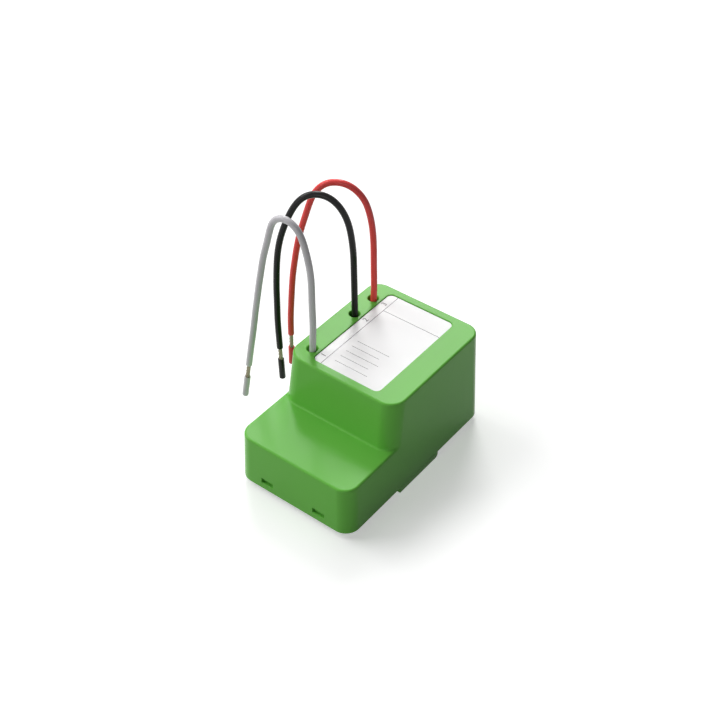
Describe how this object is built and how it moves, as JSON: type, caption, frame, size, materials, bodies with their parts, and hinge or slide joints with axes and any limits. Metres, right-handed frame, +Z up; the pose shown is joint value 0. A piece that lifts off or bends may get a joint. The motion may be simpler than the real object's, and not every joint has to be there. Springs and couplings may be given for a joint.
{
  "type": "smart dimmer module",
  "caption": "Stepped green in-wall dimmer module: drafted snap-fit housing with a recessed label, a foot pad, inner boards and arched flying leads with pull-off end sleeves.",
  "frame": {"origin": "the middle of the module seen from above, without its free leads, on the surface that the foot pad stands on", "axes": "+X across the module from the lead holes to the plain side, +Y along it from the low front to the tall rear, +Z up from the foot pad to the label"},
  "size_m": [0.0747, 0.0804, 0.095],
  "materials": {
    "green_housing": "fine satin moulded finish",
    "green_cover": "fine satin moulded finish",
    "label": "matt white film with thin grey rules",
    "power_board": "solder mask over glass laminate",
    "radio_board": "solder mask over glass laminate",
    "chip_black": "moulded epoxy",
    "thermal_pad": "soft silicone",
    "aluminium_sheet": "rolled sheet",
    "fuse_brown": "moulded case",
    "varistor_blue": "dipped epoxy",
    "film_yellow": "moulded case",
    "ferrite": "ground ferrite",
    "copper_wire": "enamelled copper",
    "bobbin_black": "moulded",
    "tape_yellow": "polyester tape",
    "capacitor_sleeve": "shrunk sleeve",
    "shunt_black": "glazed",
    "brass": "plated",
    "nylon": "natural nylon",
    "tin_plate": "tin plate",
    "tinned_strands": "twisted tinned copper strands",
    "insulation_grey": "extruded insulation",
    "insulation_black": "extruded insulation",
    "insulation_red": "extruded insulation"
  },
  "bodies": {
    "module": {"housing_shell": "green_housing", "base_cover": "green_cover", "label_sheet": "label", "power_board": "power_board", "power_transistors": "chip_black", "thermal_pad": "thermal_pad", "heat_spreader": "aluminium_sheet", "fuse": "fuse_brown", "surge_varistor": "varistor_blue", "film_capacitor": "film_yellow", "choke_core": "ferrite", "choke_winding": "copper_wire", "transformer_core": "ferrite", "transformer_bobbin": "bobbin_black", "transformer_winding": "tape_yellow", "bulk_capacitors": "capacitor_sleeve", "bridge_rectifier": "chip_black", "supply_chip": "chip_black", "gate_driver": "chip_black", "current_shunt": "shunt_black", "wire_terminals": "brass", "board_spacers": "nylon", "header_body": "bobbin_black", "header_pins": "brass", "radio_board": "radio_board", "control_chip": "chip_black", "shield_can": "tin_plate", "crystal": "tin_plate", "antenna": "brass", "neutral_lead_root": "insulation_grey", "line_lead_root": "insulation_black", "load_lead_root": "insulation_red", "neutral_lead": "insulation_grey", "line_lead": "insulation_black", "load_lead": "insulation_red", "neutral_strands": "tinned_strands", "line_strands": "tinned_strands", "load_strands": "tinned_strands"},
    "neutral_sleeve_body": {"neutral_sleeve": "insulation_grey"},
    "line_sleeve_body": {"line_sleeve": "insulation_black"},
    "load_sleeve_body": {"load_sleeve": "insulation_red"}
  },
  "joints": [
    {"name": "neutral_sleeve_slide", "type": "slide", "parent": "module", "child": "neutral_sleeve_body", "axis": [-0.1659, -0.0174, -0.986], "range_m": [-0.0061, 0.00479]},
    {"name": "line_sleeve_slide", "type": "slide", "parent": "module", "child": "line_sleeve_body", "axis": [0.0242, 0.0151, -0.9996], "range_m": [-0.0052, 0.00868]},
    {"name": "load_sleeve_slide", "type": "slide", "parent": "module", "child": "load_sleeve_body", "axis": [-0.0124, -0.0071, -0.9999], "range_m": [-0.0061, 0.00698]}
  ]
}
